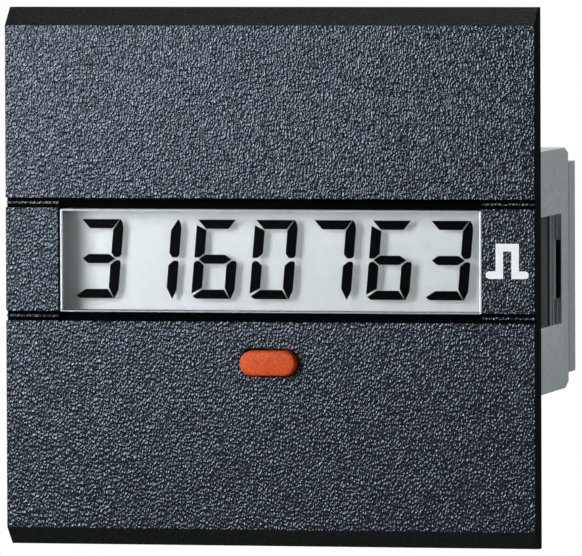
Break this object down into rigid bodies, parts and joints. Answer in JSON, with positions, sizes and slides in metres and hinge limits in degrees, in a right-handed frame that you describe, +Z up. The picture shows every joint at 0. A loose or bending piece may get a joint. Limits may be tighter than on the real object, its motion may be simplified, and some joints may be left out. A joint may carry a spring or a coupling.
{
  "type": "panel hour meter and pulse counter",
  "caption": "Square flush-panel meter with a wide liquid crystal display, a reset button, a shallow flanged front and a push-in body with blade terminals.",
  "frame": {"origin": "centre of the rim face that lies on the front of the panel", "axes": "+X to the right as the display is read, +Y back into the panel along the body, +Z up"},
  "size_m": [0.048, 0.0366, 0.048],
  "materials": {
    "bezel_black": "coarse spark-eroded grain",
    "window_clear": "clear moulded acrylic, polished",
    "print_white": "screen print",
    "button_orange": "moulded, fine grain",
    "polariser_film": "stretched film",
    "display_glass": "float glass",
    "segment_dark": "dark liquid crystal",
    "reflector_grey": "diffusing foil",
    "holder_white": "moulded, satin",
    "elastomer_pink": "layered silicone",
    "board_green": "solder mask",
    "board_amber": "bare laminate",
    "package_black": "moulded epoxy",
    "package_white": "moulded epoxy",
    "plunger_black": "moulded, satin",
    "lead_tinned": "tinned, bright",
    "can_steel": "drawn can",
    "cover_steel": "pressed sheet",
    "can_aluminium": "drawn can",
    "capacitor_ceramic": "sintered",
    "pin_gilt": "gold plated",
    "sleeve_blue": "shrunk sleeve",
    "varistor_blue": "dipped epoxy",
    "film_red": "dipped epoxy",
    "resistor_tan": "lacquered",
    "housing_grey": "moulded, fine grain",
    "cover_grey": "moulded, fine grain",
    "blade_tinned": "tin plated"
  },
  "bodies": {
    "meter": {"front_bezel": "bezel_black", "display_window": "window_clear", "pulse_mark": "print_white", "lcd_polariser": "polariser_film", "lcd_front_glass": "display_glass", "lcd_segments": "segment_dark", "lcd_rear_glass": "display_glass", "lcd_reflector": "reflector_grey", "lcd_holder": "holder_white", "zebra_strip_upper": "elastomer_pink", "zebra_strip_lower": "elastomer_pink", "display_board": "board_green", "controller_chip": "package_black", "controller_leads": "lead_tinned", "memory_chip": "package_black", "memory_leads": "lead_tinned", "clock_crystal": "can_steel", "chip_capacitors": "capacitor_ceramic", "chip_resistors": "package_black", "switch_base": "package_black", "switch_cover": "cover_steel", "switch_dome": "cover_steel", "switch_terminals": "lead_tinned", "link_pins": "pin_gilt", "link_spacer": "package_black", "supply_board": "board_amber", "filter_capacitor": "can_aluminium", "capacitor_sleeve": "sleeve_blue", "bridge_rectifier": "package_black", "bridge_leads": "lead_tinned", "count_optocoupler": "package_white", "reset_optocoupler": "package_white", "optocoupler_leads": "lead_tinned", "voltage_regulator": "package_black", "regulator_leads": "lead_tinned", "surge_varistor": "varistor_blue", "varistor_leads": "lead_tinned", "film_capacitor": "film_red", "film_capacitor_leads": "lead_tinned", "input_resistors": "resistor_tan", "resistor_leads": "lead_tinned", "rear_housing": "housing_grey", "rear_cover": "cover_grey", "terminal_blade_1": "blade_tinned", "terminal_blade_2": "blade_tinned", "terminal_blade_3": "blade_tinned", "terminal_blade_4": "blade_tinned", "terminal_blade_5": "blade_tinned", "terminal_blade_6": "blade_tinned"},
    "reset": {"reset_button": "button_orange", "switch_plunger": "plunger_black"}
  },
  "joints": [
    {"name": "reset_press", "type": "slide", "parent": "meter", "child": "reset", "axis": [0, 1, 0], "range_m": [0, 0.0003], "stiffness_N_per_m": 3000}
  ]
}
